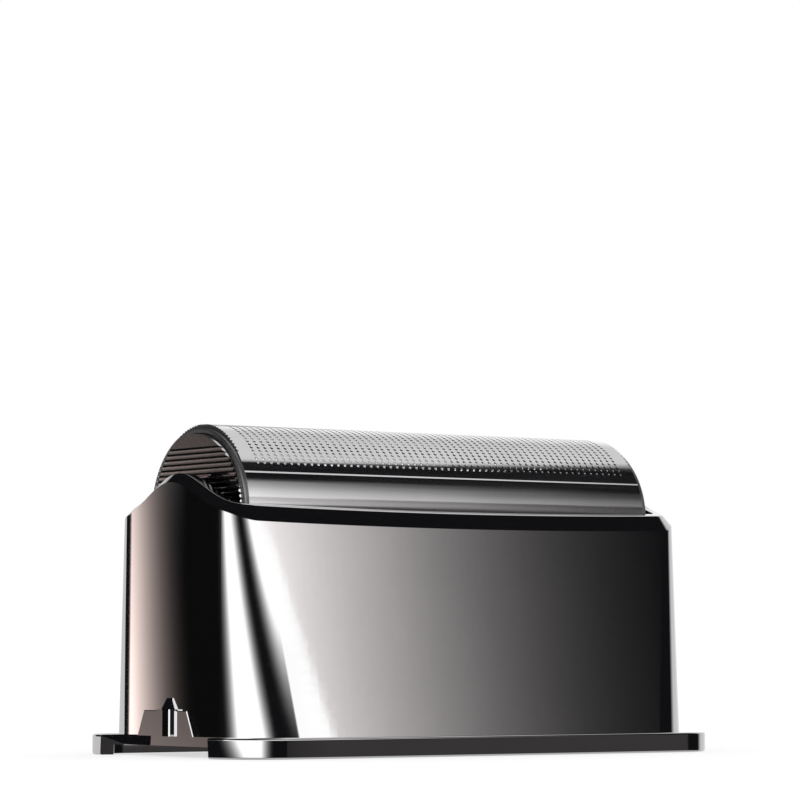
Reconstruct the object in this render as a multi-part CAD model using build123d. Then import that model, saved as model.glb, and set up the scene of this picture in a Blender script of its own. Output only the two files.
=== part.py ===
"""Shaver foil head: a plated housing that holds an arched, perforated shaving foil in its carrier.

Millimetres, +Z up. The origin is the middle of the plane that the base lip stands on.
X runs along the foil, Y across it.
"""
from build123d import *
from math import degrees, hypot, sqrt
import os

# Foil: an arched sheet with two straight legs
foil_length = 42.0
foil_radius = 7.54
foil_thickness = 0.12
arch_centre_z = 20.64

# Perforation of the foil, laid out along and around the arch
hole_columns = 17
hole_rows = 7
hole_across_flats = 1.1
hole_margin = 2.3
hole_field_angle = 106.0

# Base flange of the housing: a plate with a downturned lip, and its ledge round the wall's foot
flange_end_ledge = 1.91
flange_side_ledge = 1.33
flange_corner = 4.68
flange_height = 1.72
flange_edge_round = 0.18
plate_thickness = 0.87
lip_width = 1.32
front_bow = 900.0
end_bow = 74.0

# Housing wall, from its foot on the flange to its shoulder under the bevelled rim
wall_thickness = 1.6
end_room = 1.04
side_room = 0.86
end_draft = 0.13
side_draft = 2.4
foot_corner = 5.05
shoulder_z = 19.5
shoulder_corner = 2.44
inner_corner = 0.8

# Rim: low along the front and back, with a crest in the middle of each end
rim_z = 20.42
rim_dip_radius = 900.0
crest_z = 23.6
crest_half_width = 4.6
valley_half_width = 11.5
bevel_height = 1.3
bevel_depth = 0.85

# End notches of the flange, with a locating pad and a pointed key above each
notch_half_width = 8.55
notch_undercut = 1.1
pad_stand = 0.25
pad_half_foot = 4.45
pad_half_top = 3.42
pad_height = 2.15
key_radius = 0.75
key_height = 2.25
key_tip_radius = 0.2
key_tip_height = 0.95

# Foil carrier: rails inside the foil legs, an arched bulkhead at each end, and a foot flange
fit = 0.04
bulkhead_thickness = 1.6
rail_thickness = 1.2
rail_height = 4.4
foil_leg_gap = 0.4
carrier_foot_z = 11.5
carrier_foot_thickness = 1.0
carrier_clearance = 0.34

# Foil pegs of the carrier, and the clamp bars pressed over them
peg_radius = 0.6
peg_spacing = 10.0
pegs_per_side = 4
bar_half_length = 18.0
bar_height = 3.0
bar_thickness = 0.8
bar_edge_round = 0.25

# End caps: a rounded collar, a groove, and a plate with a smooth brow over level ribs
cap_foot_gap = 0.7
cap_base_thickness = 0.1
cap_collar_height = 0.24
cap_collar_round = 0.18
cap_collar_width = 0.42
cap_groove_width = 0.13
cap_plate_height = 0.53
cap_brow_height = 1.3
cap_rib_pitch = 0.44
cap_rib_depth = 0.26
cap_rib_land = 0.12
cap_rib_count = 14
cap_pin_radius = 0.7
cap_pin_length = 1.1
cap_pin_half_spacing = 4.0
cap_pin_rise = 2.8

# Stops above the carrier's foot flange and snap beads below it, on the long walls of the housing
stop_rib_width = 1.2
stop_rib_reach = 0.5
stop_rib_height = 5.0
stop_rib_spacing = 14.0
stop_ribs_per_side = 3
snap_bead_length = 6.0
snap_bead_reach = 0.3
snap_bead_height = 0.8
snap_bead_half_spacing = 7.0

# Derived places
foil_inner_radius = foil_radius - foil_thickness
foil_half = foil_length / 2
carrier_radius = foil_inner_radius - fit
carrier_top_z = carrier_foot_z + carrier_foot_thickness
foil_leg_z = carrier_top_z + foil_leg_gap
rail_top_z = carrier_top_z + rail_height
rail_inner_y = carrier_radius - rail_thickness
bulkhead_inner_x = foil_half - bulkhead_thickness
peg_z = (foil_leg_z + rail_top_z) / 2
bar_inner_y = foil_radius + fit
bar_outer_y = bar_inner_y + bar_thickness
cap_foot_z = carrier_top_z + cap_foot_gap
cap_pin_z = cap_foot_z + cap_pin_rise
groove_radius = foil_radius - cap_collar_width
cap_plate_radius = groove_radius - cap_groove_width
shoulder_half_length = foil_half + cap_plate_height + end_room + wall_thickness
shoulder_half_width = foil_radius + side_room + wall_thickness
foot_half_length = shoulder_half_length + end_draft
foot_half_width = shoulder_half_width + side_draft
flange_half_length = foot_half_length + flange_end_ledge
flange_half_width = foot_half_width + flange_side_ledge
plate_z = flange_height - plate_thickness
notch_floor_x = foot_half_length - notch_undercut
pad_x = foot_half_length + pad_stand
apex_z = arch_centre_z + foil_radius
cut_room = 5.0
sink = wall_thickness / 2


def oval(half_length, half_width, corner, z):
    """Oval with bowed sides and rounded corners, as a face at height z."""
    front_y = front_bow - half_width
    end_x = half_length - end_bow
    front_reach = front_bow - corner
    end_reach = end_bow - corner
    apart = hypot(end_x, front_y)
    along = (front_reach**2 - end_reach**2 + apart**2) / (2 * apart)
    across = sqrt(front_reach**2 - along**2)
    toward = Vector(end_x, -front_y) / apart
    middle = Vector(0, front_y) + toward * along + Vector(-toward.Y, toward.X) * across
    turn_front = Vector(0, front_y) + (middle - Vector(0, front_y)) * (front_bow / front_reach)
    turn_end = Vector(end_x, 0) + (middle - Vector(end_x, 0)) * (end_bow / end_reach)
    bend = middle + ((turn_front - middle) + (turn_end - middle)).normalized() * corner

    def place(point, sign_x, sign_y):
        return (point.X * sign_x, point.Y * sign_y)

    arcs = []
    for side in (1, -1):
        start = place(turn_front, -side, side)
        finish = place(turn_front, side, side)
        arcs.append(ThreePointArc(start, (0, -half_width * side), finish))
        turn = place(turn_end, side, side)
        arcs.append(ThreePointArc(finish, place(bend, side, side), turn))
        turned = place(turn_end, side, -side)
        arcs.append(ThreePointArc(turn, (half_length * side, 0), turned))
        arcs.append(ThreePointArc(turned, place(bend, side, -side), place(turn_front, side, -side)))
    return Pos(0, 0, z) * make_face(arcs)


def tapered(foot, shoulder, z):
    """A size of the wall at height z, from its values at the foot and at the shoulder."""
    return foot + (shoulder - foot) * (z - flange_height) / (shoulder_z - flange_height)


def wall_oval(z, inset=0.0):
    """Outline of the wall at height z, moved inward by inset."""
    half_length = tapered(foot_half_length, shoulder_half_length, z)
    half_width = tapered(foot_half_width, shoulder_half_width, z)
    corner = tapered(foot_corner, shoulder_corner, z)
    return oval(half_length - inset, half_width - inset, max(corner - inset, inner_corner), z)


def arch(radius, foot_z):
    """D-shaped face: a half circle on straight sides that end at foot_z, drawn in Y and Z."""
    outline = [
        Line((-radius, foot_z), (radius, foot_z)),
        Line((radius, foot_z), (radius, arch_centre_z)),
        ThreePointArc((radius, arch_centre_z), (0, arch_centre_z + radius), (-radius, arch_centre_z)),
        Line((-radius, arch_centre_z), (-radius, foot_z)),
    ]
    return make_face(outline)


def along_x(face, start, length):
    """Solid drawn in Y and Z, from x = start over the given length."""
    return extrude(Plane.YZ.offset(start) * face, length)


def across_y(radius, x, z, start, length):
    """Round bar along Y, from y = start over the given length."""
    return Pos(x, start + length / 2, z) * Rot(90, 0, 0) * Cylinder(radius, length)


def with_mirror(solid, plane):
    """The solid and its mirror image together."""
    return solid + mirror(solid, about=plane)


def spread(count, spacing):
    """Evenly spaced places about zero."""
    return [(index - (count - 1) / 2) * spacing for index in range(count)]


def above_rim():
    """Everything over the wavy rim: the curve across the ends, turned along the shallow dip."""
    top = apex_z + cut_room
    middle_z = (rim_z + crest_z) / 2
    far = valley_half_width + cut_room
    half = [(crest_half_width, middle_z), (valley_half_width, rim_z), (far, rim_z)]
    wave = Spline(*[(-y, z) for y, z in reversed(half)], (0, crest_z), *half)
    cover = Polyline(wave @ 1, (far, top), (-far, top), wave @ 0)
    reach = degrees((flange_half_length + cut_room) / rim_dip_radius)
    axis = Axis((0, 0, rim_z + rim_dip_radius), (0, 1, 0))
    profile = (Plane.YZ * make_face([wave, cover])).rotate(axis, -reach)
    return revolve(profile, axis, 2 * reach)


def outer_wall():
    """The wall's outside as a solid, cut to the wavy rim and bevelled round it."""
    body = loft([wall_oval(flange_height), wall_oval(crest_z + bevel_height)], ruled=True)
    body -= above_rim()
    top = body.faces().sort_by(Axis.Z)[-1]
    return chamfer(top.edges(), bevel_depth, bevel_height, reference=top)


def flange():
    """The base flange with its edges rounded, before the underside and the notches are cut."""
    plate = extrude(oval(flange_half_length, flange_half_width, flange_corner, 0), flange_height)
    rims = plate.edges().group_by(Axis.Z)
    return fillet(rims[0] + rims[-1], flange_edge_round)


def flange_cuts():
    """The recess under the flange plate, and the notch at each end."""
    recess = extrude(
        oval(flange_half_length - lip_width, flange_half_width - lip_width, flange_corner - lip_width, 0),
        plate_z,
    )
    notch_length = flange_half_length - notch_floor_x + cut_room
    notch = Pos(notch_floor_x + notch_length / 2, 0, flange_height / 2) * Box(
        notch_length, 2 * notch_half_width, flange_height
    )
    return recess + with_mirror(notch, Plane.YZ)


def cavity():
    """The hollow of the wall, open at the top and through the flange."""
    foot = wall_oval(flange_height, wall_thickness)
    hollow = loft([foot, wall_oval(crest_z + bevel_height, wall_thickness)], ruled=True)
    return hollow + extrude(foot, -flange_height)


def locating_pads():
    """A flat pad with a round pointed key on each end wall, over the notch."""
    top_z = flange_height + pad_height
    outline = make_face(
        Polyline(
            (-pad_half_foot, flange_height),
            (pad_half_foot, flange_height),
            (pad_half_top, top_z),
            (-pad_half_top, top_z),
            close=True,
        )
    )
    pad = along_x(outline, foot_half_length - sink, pad_stand + sink)
    post = Pos(pad_x, 0, flange_height + key_height / 2) * Cylinder(key_radius, key_height)
    tip_z = flange_height + key_height + key_tip_height / 2
    tip = Pos(pad_x, 0, tip_z) * Cone(key_radius, key_tip_radius, key_tip_height)
    return with_mirror(pad + post + tip, Plane.YZ)


def carrier_holders():
    """Stop ribs over the carrier's foot flange and snap beads under it, on both long walls."""
    root_y = foot_half_width
    wall_y = tapered(foot_half_width, shoulder_half_width, carrier_top_z)
    carrier_y = wall_y - wall_thickness - carrier_clearance
    stop_y = carrier_y - stop_rib_reach
    snap_y = carrier_y - snap_bead_reach
    rib_depth = root_y - stop_y
    ribs = [
        Pos(x, stop_y + rib_depth / 2, carrier_top_z + stop_rib_height / 2)
        * Box(stop_rib_width, rib_depth, stop_rib_height)
        for x in spread(stop_ribs_per_side, stop_rib_spacing)
    ]
    nose = make_face(
        Polyline(
            (snap_y, carrier_foot_z),
            (snap_y, carrier_foot_z - snap_bead_height / 3),
            (root_y, carrier_foot_z - snap_bead_height),
            (root_y, carrier_foot_z),
            close=True,
        )
    )
    beads = [
        along_x(nose, x - snap_bead_length / 2, snap_bead_length)
        for x in spread(2, 2 * snap_bead_half_spacing)
    ]
    return with_mirror(Part() + ribs + beads, Plane.XZ)


def housing():
    """The plated moulding: flange, tapered wall, rim, pads, keys, and what holds the carrier."""
    wall = outer_wall()
    body = wall + flange()
    body -= flange_cuts() + cavity()
    body += carrier_holders() & wall
    return body + (locating_pads() - cavity())


def perforation():
    """Hexagonal holes through the arch, in level rows and upright columns."""
    span = foil_length - 2 * hole_margin
    depth = 4 * foil_thickness
    outline = RegularPolygon(hole_across_flats / 2, 6, major_radius=False)
    punch = Pos(0, 0, foil_radius - depth / 2) * extrude(outline, depth)
    return [
        Pos(x, 0, arch_centre_z) * Rot(angle, 0, 0) * punch
        for x in spread(hole_columns, span / (hole_columns - 1))
        for angle in spread(hole_rows, hole_field_angle / (hole_rows - 1))
    ]


def foil():
    """The shaving foil: an arched sheet, perforated over the arch and pierced for the pegs."""
    section = arch(foil_radius, foil_leg_z) - arch(foil_inner_radius, foil_leg_z - cut_room)
    sheet = along_x(section, -foil_half, foil_length)
    piercings = [
        across_y(peg_radius + fit, x, peg_z, -2 * foil_radius, 4 * foil_radius)
        for x in spread(pegs_per_side, peg_spacing)
    ]
    return sheet - piercings - perforation()


def foil_carrier():
    """The frame inside the foil: foot flange, rails with pegs, and arched bulkheads."""
    foot = extrude(wall_oval(carrier_top_z, wall_thickness + carrier_clearance), -carrier_foot_thickness)
    rails_height = rail_top_z - carrier_foot_z
    rails = Pos(0, 0, carrier_foot_z + rails_height / 2) * Box(foil_length, 2 * carrier_radius, rails_height)
    window = Pos(0, 0, carrier_foot_z + rails_height / 2) * Box(
        2 * bulkhead_inner_x, 2 * rail_inner_y, rails_height
    )
    bulkhead = along_x(arch(carrier_radius, carrier_top_z), bulkhead_inner_x, bulkhead_thickness)
    body = foot + rails - window + with_mirror(bulkhead, Plane.YZ)
    pegs = [
        across_y(peg_radius, x, peg_z, rail_inner_y, bar_outer_y - rail_inner_y)
        for x in spread(pegs_per_side, peg_spacing)
    ]
    body += with_mirror(Part() + pegs, Plane.XZ)
    return body - with_mirror(cap_pins(fit), Plane.YZ)


def cap_pins(room):
    """The two pins at the back of an end cap, with some room round them."""
    length = cap_pin_length + room
    return Part() + [
        Pos(foil_half - length / 2, y, cap_pin_z) * Rot(0, 90, 0) * Cylinder(cap_pin_radius + room, length)
        for y in spread(2, 2 * cap_pin_half_spacing)
    ]


def rib_grooves():
    """The level grooves between the ribs, as bars across the cap's plate."""
    face_x = foil_half + cap_plate_height
    first_z = arch_centre_z + cap_plate_radius - cap_brow_height
    half_mouth = (cap_rib_pitch - cap_rib_land) / 2
    outline = make_face(
        Polyline((face_x, -half_mouth), (face_x, half_mouth), (face_x - cap_rib_depth, 0), close=True)
    )
    bar = extrude(Plane.XZ * outline, cap_plate_radius, both=True)
    return [Pos(0, 0, first_z - index * cap_rib_pitch) * bar for index in range(cap_rib_count)]


def end_cap():
    """The cap at the foil's right end, pinned to the carrier's bulkhead."""
    collar = along_x(arch(foil_radius, cap_foot_z), foil_half, cap_collar_height)
    brim = collar.faces().sort_by(Axis.X)[-1].edges().sort_by(Axis.Z)[1:]
    collar = fillet(brim, cap_collar_round)
    collar -= along_x(arch(groove_radius, cap_foot_z), foil_half + cap_base_thickness, cap_collar_height)
    plate = along_x(arch(cap_plate_radius, cap_foot_z), foil_half, cap_plate_height)
    return collar + (plate - rib_grooves()) + cap_pins(0)


def clamp_bar():
    """The front bar that presses a foil leg to its rail, with a hole for each peg."""
    middle_y = -(bar_inner_y + bar_thickness / 2)
    bar = Pos(0, middle_y, peg_z) * Box(2 * bar_half_length, bar_thickness, bar_height)
    outer_edges = bar.faces().sort_by(Axis.Y)[0].edges()
    bar = fillet(outer_edges, bar_edge_round)
    return bar - [
        across_y(peg_radius + fit, x, peg_z, -2 * bar_outer_y, 2 * bar_outer_y)
        for x in spread(pegs_per_side, peg_spacing)
    ]


right_cap = end_cap()
front_bar = clamp_bar()

pieces = {
    "housing": housing(),
    "foil": foil(),
    "foil_carrier": foil_carrier(),
    "end_cap_left": mirror(right_cap, about=Plane.YZ),
    "end_cap_right": right_cap,
    "clamp_bar_front": front_bar,
    "clamp_bar_rear": mirror(front_bar, about=Plane.XZ),
}

os.makedirs("parts", exist_ok=True)
for name, piece in pieces.items():
    export_step(piece, f"parts/{name}.step")
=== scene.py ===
"""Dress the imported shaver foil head: plated housing, perforated foil, ribbed end caps, and their studio."""
import logging
import math
from dataclasses import dataclass, field
from enum import Enum

import bpy
import numpy as np
from mathutils import Matrix, Vector


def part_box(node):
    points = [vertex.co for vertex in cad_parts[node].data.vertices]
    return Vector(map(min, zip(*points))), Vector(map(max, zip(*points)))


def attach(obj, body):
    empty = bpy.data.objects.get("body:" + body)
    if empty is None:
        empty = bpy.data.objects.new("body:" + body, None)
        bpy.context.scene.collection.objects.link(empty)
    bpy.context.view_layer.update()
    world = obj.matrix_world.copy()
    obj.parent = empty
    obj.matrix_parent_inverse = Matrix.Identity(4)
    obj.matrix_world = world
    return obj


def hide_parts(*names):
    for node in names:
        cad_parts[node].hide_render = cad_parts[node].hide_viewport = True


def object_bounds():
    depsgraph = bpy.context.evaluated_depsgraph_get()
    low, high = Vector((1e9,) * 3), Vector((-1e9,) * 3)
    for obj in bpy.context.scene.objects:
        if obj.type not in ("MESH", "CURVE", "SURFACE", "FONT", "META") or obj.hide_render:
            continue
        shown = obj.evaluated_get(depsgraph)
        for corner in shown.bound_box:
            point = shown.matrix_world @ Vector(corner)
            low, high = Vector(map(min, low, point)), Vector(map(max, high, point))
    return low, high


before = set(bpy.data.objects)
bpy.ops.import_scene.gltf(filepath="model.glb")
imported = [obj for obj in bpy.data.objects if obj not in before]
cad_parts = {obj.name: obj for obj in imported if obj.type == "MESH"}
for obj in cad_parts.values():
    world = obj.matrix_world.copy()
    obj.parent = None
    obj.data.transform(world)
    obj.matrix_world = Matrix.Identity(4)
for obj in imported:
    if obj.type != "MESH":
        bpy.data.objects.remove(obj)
CAD_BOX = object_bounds()

LOG = logging.getLogger("foil_head")
BODY = "root"
MM = 0.001
WELD = 1e-5
TINY = 1e-12
HALVINGS = 60
IMAGE_SIDE = 800
WHITE = (1.0, 1.0, 1.0, 1.0)
OPEN_LEFT = (-200.0, -199.0)
OPEN_RIGHT = (220.0, 221.0)
ZENITH = (88.0, 89.0)

# Sockets of a Mix node that mixes colours.
MIX_SHARE = 0
MIX_LOW = 6
MIX_HIGH = 7
MIX_RESULT = 2

Colour = tuple[float, float, float]


class Side(Enum):
    """An end of the head along X."""

    LEFT = -1
    RIGHT = 1


class Slot(Enum):
    """The record's slots for the pieces made here."""

    HOUSING = "housing_plating"
    FOIL = "foil_steel"
    CAP = "cap_plating"


class CapFinish(Enum):
    """Numbers of an end cap's finishes, in the order of its materials."""

    PLATE = 0
    COLLAR = 1


def node_reach(node: str) -> np.ndarray:
    """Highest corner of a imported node, in millimetres."""
    return np.array(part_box(node)[1]) / MM


def node_foot(node: str) -> np.ndarray:
    """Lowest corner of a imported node, in millimetres."""
    return np.array(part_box(node)[0]) / MM


def unit(vectors: np.ndarray) -> np.ndarray:
    """Vectors scaled to length one."""
    lengths = np.linalg.norm(vectors, axis=-1, keepdims=True)
    return vectors / np.maximum(lengths, TINY)


def raised(outline: np.ndarray, height: float | np.ndarray) -> np.ndarray:
    """Points of a plane outline, set at the given height or heights."""
    heights = np.broadcast_to(height, outline.shape[:-1])
    return np.concatenate([outline, heights[..., None]], axis=-1)


def stood(section: np.ndarray, x: float) -> np.ndarray:
    """Points of a section in Y and Z, set at a place along X."""
    return np.column_stack([np.full(len(section), x), section])


class Skin:
    """Gathers smooth patches and flat faces, in millimetres, into one mesh with its own corner normals."""

    def __init__(self) -> None:
        """Start with no faces."""
        self.corners: list[np.ndarray] = []
        self.normals: list[np.ndarray] = []
        self.finishes: list[int] = []
        self.finish = 0

    def faces(self, corners: np.ndarray, normals: np.ndarray) -> None:
        """Add faces by the places and normals of their corners.

        Args:
            corners: Places, as faces by corners by three.
            normals: Normals of the same corners.
        """
        self.corners.append(corners)
        self.normals.append(unit(normals))
        self.finishes.append(self.finish)

    def flat(self, loop: np.ndarray) -> None:
        """Add one flat face.

        Args:
            loop: The face's corners in order, seen anticlockwise from outside.
        """
        across = np.cross(loop, np.roll(loop, -1, axis=0)).sum(axis=0)
        self.faces(loop[None], np.broadcast_to(across, (1, *loop.shape)))

    def loft(self, rings: list[np.ndarray]) -> None:
        """Add a closed body of flat faces through plane loops with as many corners each.

        Args:
            rings: The loops in order, each seen anticlockwise from beyond the last one.
        """
        self.flat(rings[0][::-1])
        self.flat(rings[-1])
        for first, second in zip(rings, rings[1:]):
            for at in range(len(first)):
                after = (at + 1) % len(first)
                self.flat(np.stack([first[at], first[after], second[after], second[at]]))

    def patch(self, grid: np.ndarray, around: bool = False, flip: bool = False) -> None:
        """Add a smooth patch of quads with normals taken from the grid.

        Args:
            grid: Places, as rows by columns by three.
            around: Whether the last column joins the first one.
            flip: Whether the outside is on the other side of the grid.
        """
        if around:
            wide = np.concatenate([grid[:, -1:], grid, grid[:, :1]], axis=1)
            along = np.gradient(wide, axis=1)[:, 1:-1]
        else:
            along = np.gradient(grid, axis=1)
        normals = np.cross(along, np.gradient(grid, axis=0))
        self.dressed_patch(grid, -normals if flip else normals, around, flip)

    def dressed_patch(self, grid: np.ndarray, normals: np.ndarray, around: bool, flip: bool) -> None:
        """Add a patch of quads with given normals.

        Args:
            grid: Places, as rows by columns by three.
            normals: Outward normals of the same points.
            around: Whether the last column joins the first one.
            flip: Whether the outside is on the other side of the grid.
        """
        if around:
            grid = np.concatenate([grid, grid[:, :1]], axis=1)
            normals = np.concatenate([normals, normals[:, :1]], axis=1)
        order = [(0, 0), (0, 1), (1, 1), (1, 0)]
        if flip:
            order.reverse()
        rows, columns = grid.shape[0] - 1, grid.shape[1] - 1
        pick = [np.s_[row:row + rows, column:column + columns] for row, column in order]
        corners = np.stack([grid[part] for part in pick], axis=2).reshape(-1, 4, 3)
        bends = np.stack([normals[part] for part in pick], axis=2).reshape(-1, 4, 3)
        self.faces(corners, bends)

    def add(self, other: "Skin", scale: tuple[int, int, int] = (1, 1, 1)) -> None:
        """Take over another skin's faces, mirrored where the scale is negative.

        Args:
            other: The skin to copy.
            scale: One or minus one for each axis.
        """
        turn = np.array(scale, dtype=float)
        step = 1 if np.prod(turn) > 0 else -1
        for corners, normals, finish in zip(other.corners, other.normals, other.finishes):
            self.finish = finish
            self.faces((corners * turn)[:, ::step], (normals * turn)[:, ::step])

    def mesh(self, name: str) -> bpy.types.Mesh:
        """Weld the faces into a mesh.

        Args:
            name: The mesh's name.

        Returns:
            The mesh, in metres, with its corner normals set.
        """
        places = np.concatenate([corners.reshape(-1, 3) for corners in self.corners])
        bends = np.concatenate([normals.reshape(-1, 3) for normals in self.normals])
        keys = np.round(places / WELD).astype(np.int64)
        _, first, index = np.unique(keys, axis=0, return_index=True, return_inverse=True)
        index = index.reshape(-1)
        faces: list[list[int]] = []
        loops: list[int] = []
        finishes: list[int] = []
        start = 0
        for corners, finish in zip(self.corners, self.finishes):
            count, size = corners.shape[:2]
            for low in range(start, start + count * size, size):
                before = [low + (at - 1) % size for at in range(size)]
                ring = [at for at, last in enumerate(before, low) if index[at] != index[last]]
                if len(ring) > 2:
                    faces.append([int(index[at]) for at in ring])
                    loops.extend(ring)
                    finishes.append(finish)
            start += count * size
        mesh = bpy.data.meshes.new(name)
        mesh.from_pydata((places[first] * MM).tolist(), [], faces)
        mesh.polygons.foreach_set("material_index", finishes)
        mesh.normals_split_custom_set(bends[loops].tolist())
        return mesh

    def piece(
        self, name: str, materials: list[bpy.types.Material], slot: Slot, *nodes: str
    ) -> bpy.types.Object:
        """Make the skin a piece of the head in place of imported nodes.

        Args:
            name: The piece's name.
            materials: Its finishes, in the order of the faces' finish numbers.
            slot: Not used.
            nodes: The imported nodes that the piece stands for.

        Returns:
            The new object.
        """
        piece = bpy.data.objects.new(name, self.mesh(name))
        for material in materials:
            piece.data.materials.append(material)
        bpy.context.scene.collection.objects.link(piece)
        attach(piece, BODY)
        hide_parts(*nodes)
        LOG.info("%s: %d faces", name, len(piece.data.polygons))
        return piece


@dataclass(frozen=True)
class Oval:
    """Bowed outline with rounded corners, in millimetres; a place on it is named by the way that it faces."""

    half_length: float
    half_width: float
    corner: float
    front_bow: float = 900.0
    end_bow: float = 74.0

    def inset(self, depth: float, least_corner: float = 0.0) -> "Oval":
        """The outline moved inward by a depth."""
        corner = max(self.corner - depth, least_corner)
        return Oval(self.half_length - depth, self.half_width - depth, corner, self.front_bow, self.end_bow)

    def corner_centre(self) -> tuple[float, float]:
        """Centre of the corner arc in the first quadrant."""
        front_y, end_x = self.front_bow - self.half_width, self.half_length - self.end_bow
        front_reach, end_reach = self.front_bow - self.corner, self.end_bow - self.corner
        apart = math.hypot(end_x, front_y)
        along = (front_reach**2 - end_reach**2 + apart**2) / (2 * apart)
        across = math.sqrt(front_reach**2 - along**2)
        toward_x, toward_y = end_x / apart, front_y / apart
        return toward_x * along + toward_y * across, toward_y * along - front_y - toward_x * across

    def turns(self) -> tuple[float, float]:
        """Facing angles at which the end meets the corner and the corner meets the front."""
        x, y = self.corner_centre()
        end = math.atan2(y, x - self.half_length + self.end_bow)
        return end, math.atan2(y + self.front_bow - self.half_width, x)

    def at(self, facing: np.ndarray) -> np.ndarray:
        """Points of the outline.

        Args:
            facing: Angles of the outward normal from +X, in radians.

        Returns:
            The points, one row each.
        """
        end, front = self.turns()
        x, y = self.corner_centre()
        cosine, sine = np.abs(np.cos(facing)), np.abs(np.sin(facing))
        quarter = np.arctan2(sine, cosine)
        on_end, on_front = quarter < end, quarter > front
        radius = np.where(on_end, self.end_bow, np.where(on_front, self.front_bow, self.corner))
        centre_x = np.where(on_end, self.half_length - self.end_bow, np.where(on_front, 0.0, x))
        centre_y = np.where(on_end, 0.0, np.where(on_front, self.half_width - self.front_bow, y))
        point_x = (centre_x + radius * cosine) * np.sign(np.cos(facing))
        point_y = (centre_y + radius * sine) * np.sign(np.sin(facing))
        return np.stack([point_x, point_y], axis=-1)

    def facing_at_y(self, y: float) -> float:
        """Facing angle in the first quadrant of the point at a given y, found by halving."""
        low, high = 0.0, math.pi / 2
        for _ in range(HALVINGS):
            middle = (low + high) / 2
            if self.at(np.array([middle]))[0, 1] < y:
                low = middle
            else:
                high = middle
        return low


@dataclass(frozen=True)
class RimWave:
    """Height of the housing's rim: level along the sides, with a rounded crest at each end."""

    low: float
    crest: float
    crest_width: float = 5.5
    dip_radius: float = 900.0

    def height(self, places: np.ndarray) -> np.ndarray:
        """Rim height over points given by x and y."""
        swell = np.exp(-((places[..., 1] / self.crest_width) ** 2))
        return self.low + (self.crest - self.low) * swell + places[..., 0] ** 2 / (2 * self.dip_radius)


class Graph:
    """Short way to add and wire the nodes of one shader tree."""

    def __init__(self, tree: bpy.types.NodeTree) -> None:
        """Start on an emptied tree."""
        self.tree = tree
        tree.nodes.clear()

    def add(self, kind: str, wires: dict | None = None, **settings: object) -> bpy.types.Node:
        """Add one node.

        Args:
            kind: The node's type.
            wires: What each input takes, a socket or a value, by the input's name or number.
            settings: Properties of the node.

        Returns:
            The new node.
        """
        node = self.tree.nodes.new(kind)
        for key, value in settings.items():
            setattr(node, key, value)
        for key, value in (wires or {}).items():
            if isinstance(value, bpy.types.NodeSocket):
                self.tree.links.new(value, node.inputs[key])
            else:
                node.inputs[key].default_value = value
        return node

    def math(self, operation: str, *values: object) -> bpy.types.NodeSocket:
        """Result of a Math node on sockets or numbers."""
        return self.add("ShaderNodeMath", dict(enumerate(values)), operation=operation).outputs[0]

    def blend(self, share: object, low: object, high: object) -> bpy.types.NodeSocket:
        """Colour between two colours."""
        wires = {MIX_SHARE: share, MIX_LOW: low, MIX_HIGH: high}
        return self.add("ShaderNodeMix", wires, data_type="RGBA").outputs[MIX_RESULT]

    def spread(
        self, value: object, low: object, high: object, least: float = 0.0, most: float = 1.0
    ) -> bpy.types.NodeSocket:
        """Value mapped from one range to another, held at its ends."""
        wires = dict(enumerate((value, low, high, least, most)))
        return self.add("ShaderNodeMapRange", wires).outputs[0]


def group_tree(name: str, inputs: dict[str, float], outputs: tuple[str, ...]) -> Graph:
    """Start a shader node group with number sockets.

    Args:
        name: The group's name.
        inputs: Names of the inputs with their usual values.
        outputs: Names of the outputs.

    Returns:
        The graph of the new group.
    """
    tree = bpy.data.node_groups.new(name, "ShaderNodeTree")
    for label, value in inputs.items():
        socket = tree.interface.new_socket(label, in_out="INPUT", socket_type="NodeSocketFloat")
        socket.default_value = value
    for label in outputs:
        tree.interface.new_socket(label, in_out="OUTPUT", socket_type="NodeSocketFloat")
    return Graph(tree)


@dataclass(frozen=True)
class WearLayer:
    """One layer of noise in the fine wear, with the range of the noise that it is taken from."""

    scale: float
    detail: float
    low: float
    high: float
    stretch: tuple[float, float, float] = (1.0, 1.0, 1.0)


WEAR_LAYERS = {
    "Haze": WearLayer(120.0, 3.0, 0.35, 0.65),
    "Hairline": WearLayer(2500.0, 2.0, 0.35, 0.7, (0.02, 1.0, 1.0)),
    "Grain": WearLayer(6000.0, 1.0, 0.3, 0.7),
}


def wear_group() -> bpy.types.NodeTree:
    """Node group of fine surface change: soft haze, hairlines along X, and an even grain."""
    name = "fine_wear"
    if name in bpy.data.node_groups:
        return bpy.data.node_groups[name]
    graph = group_tree(name, {}, tuple(WEAR_LAYERS))
    place = graph.add("ShaderNodeTexCoord").outputs["Object"]
    masks = {}
    for label, layer in WEAR_LAYERS.items():
        drawn = graph.add("ShaderNodeMapping", {"Vector": place, "Scale": layer.stretch}).outputs[0]
        wires = {"Vector": drawn, "Scale": layer.scale, "Detail": layer.detail}
        noise = graph.add("ShaderNodeTexNoise", wires)
        masks[label] = graph.spread(noise.outputs["Fac"], layer.low, layer.high)
    graph.add("NodeGroupOutput", masks)
    return graph.tree


class Texture(Enum):
    """The layer of wear that a finish's relief and roughness follow."""

    DRAWN = "Hairline"
    MOULDED = "Grain"


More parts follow.
